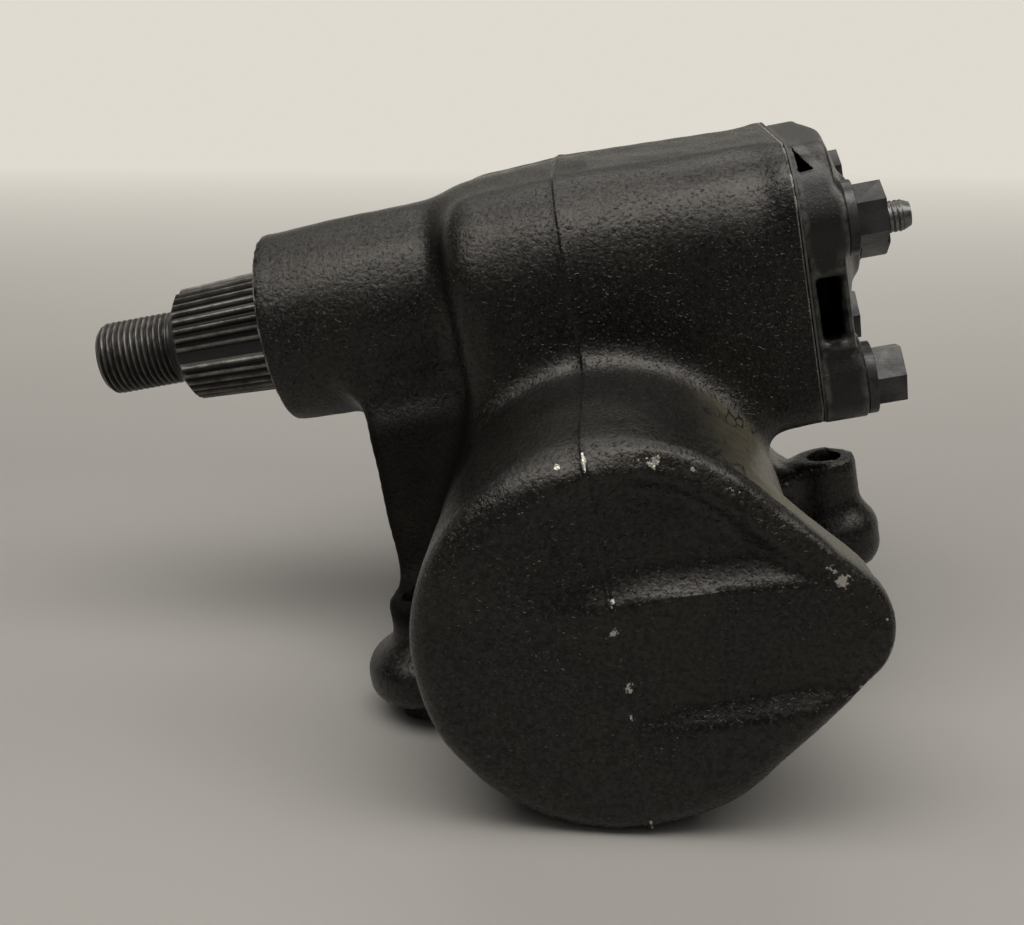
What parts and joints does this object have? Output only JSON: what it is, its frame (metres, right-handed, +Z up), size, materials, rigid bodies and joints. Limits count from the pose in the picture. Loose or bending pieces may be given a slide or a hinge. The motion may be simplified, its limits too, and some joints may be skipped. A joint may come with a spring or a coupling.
{
  "type": "steering gearbox",
  "caption": "Recirculating-ball steering gearbox: cast housing with worm barrel, splined sector shaft, bolted side cover and lash screw.",
  "frame": {"origin": "middle of the footprint, on the bench that the gearbox rests on", "axes": "+Z up from the bench, +Y along the worm towards its input end, +X across towards the cover; the sector shaft rises 11.1 degrees towards +X because the gear leans on its barrel and its two left feet"},
  "size_m": [0.2107, 0.227, 0.1367],
  "materials": {
    "cast_black": "black paint over sand casting, oily, chipped on edges",
    "cover_black": "black paint, smoother casting",
    "gasket": "pressed fibre edge",
    "bolt_steel": "dark zinc with worn edges",
    "bright_steel": "bare machined steel",
    "shaft_steel": "dark oxidised steel, brighter crests",
    "bronze": "plain bearing bronze",
    "seal_rubber": "black rubber",
    "ball_steel": "ground bearing steel",
    "cage_brass": "pressed cage"
  },
  "bodies": {
    "case": {"housing": "cast_black", "cover_gasket": "gasket", "side_cover": "cover_black", "cover_bushing": "bronze", "cover_bolts": "bolt_steel", "cover_washers": "bolt_steel", "lash_screw": "bright_steel", "lash_shim": "bright_steel", "lash_washer": "bolt_steel", "lash_locknut": "bolt_steel", "boss_bushing_outer": "bronze", "boss_bushing_inner": "bronze", "sector_seal": "seal_rubber", "lower_bearing_cup": "ball_steel", "upper_bearing_cup": "ball_steel", "bearing_adjuster": "shaft_steel", "adjuster_locknut": "bolt_steel", "worm_seal": "seal_rubber"},
    "sector": {"sector_shaft": "shaft_steel"},
    "worm": {"worm_shaft": "bright_steel"},
    "nut": {"ball_nut": "bright_steel", "circuit_balls": "ball_steel", "return_guides": "bright_steel", "guide_clamp": "bright_steel", "clamp_screws": "bolt_steel"},
    "lower_balls": {"lower_bearing_balls": "ball_steel", "lower_bearing_cage": "cage_brass"},
    "upper_balls": {"upper_bearing_balls": "ball_steel", "upper_bearing_cage": "cage_brass"}
  },
  "joints": [
    {"name": "sector_turn", "type": "hinge", "parent": "case", "child": "sector", "pos_m": [0.02158, -0.0085, 0.09873], "axis": [0.9811, 0, 0.1933], "range_deg": [-36, 36]},
    {"name": "worm_turn", "type": "hinge", "parent": "case", "child": "worm", "pos_m": [0.0326, -0.0085, 0.0428], "axis": [0, 1, 0], "range_deg": [-721, 721]},
    {"name": "nut_slide", "type": "slide", "parent": "case", "child": "nut", "axis": [0, 1, 0], "range_m": [-0.0196, 0.0196]},
    {"name": "lower_balls_roll", "type": "hinge", "parent": "case", "child": "lower_balls", "pos_m": [0.0326, -0.0085, 0.0428], "axis": [0, 1, 0], "range_deg": [-271.72, 271.72]},
    {"name": "upper_balls_roll", "type": "hinge", "parent": "case", "child": "upper_balls", "pos_m": [0.0326, -0.0085, 0.0428], "axis": [0, 1, 0], "range_deg": [-271.72, 271.72]}
  ],
  "couplings": [
    {"joint": "worm_turn", "follows": "sector_turn", "ratio": -20},
    {"joint": "nut_slide", "follows": "sector_turn", "m_per_rad": 0.031},
    {"joint": "lower_balls_roll", "follows": "sector_turn", "ratio": -7.52},
    {"joint": "upper_balls_roll", "follows": "sector_turn", "ratio": -7.52}
  ]
}
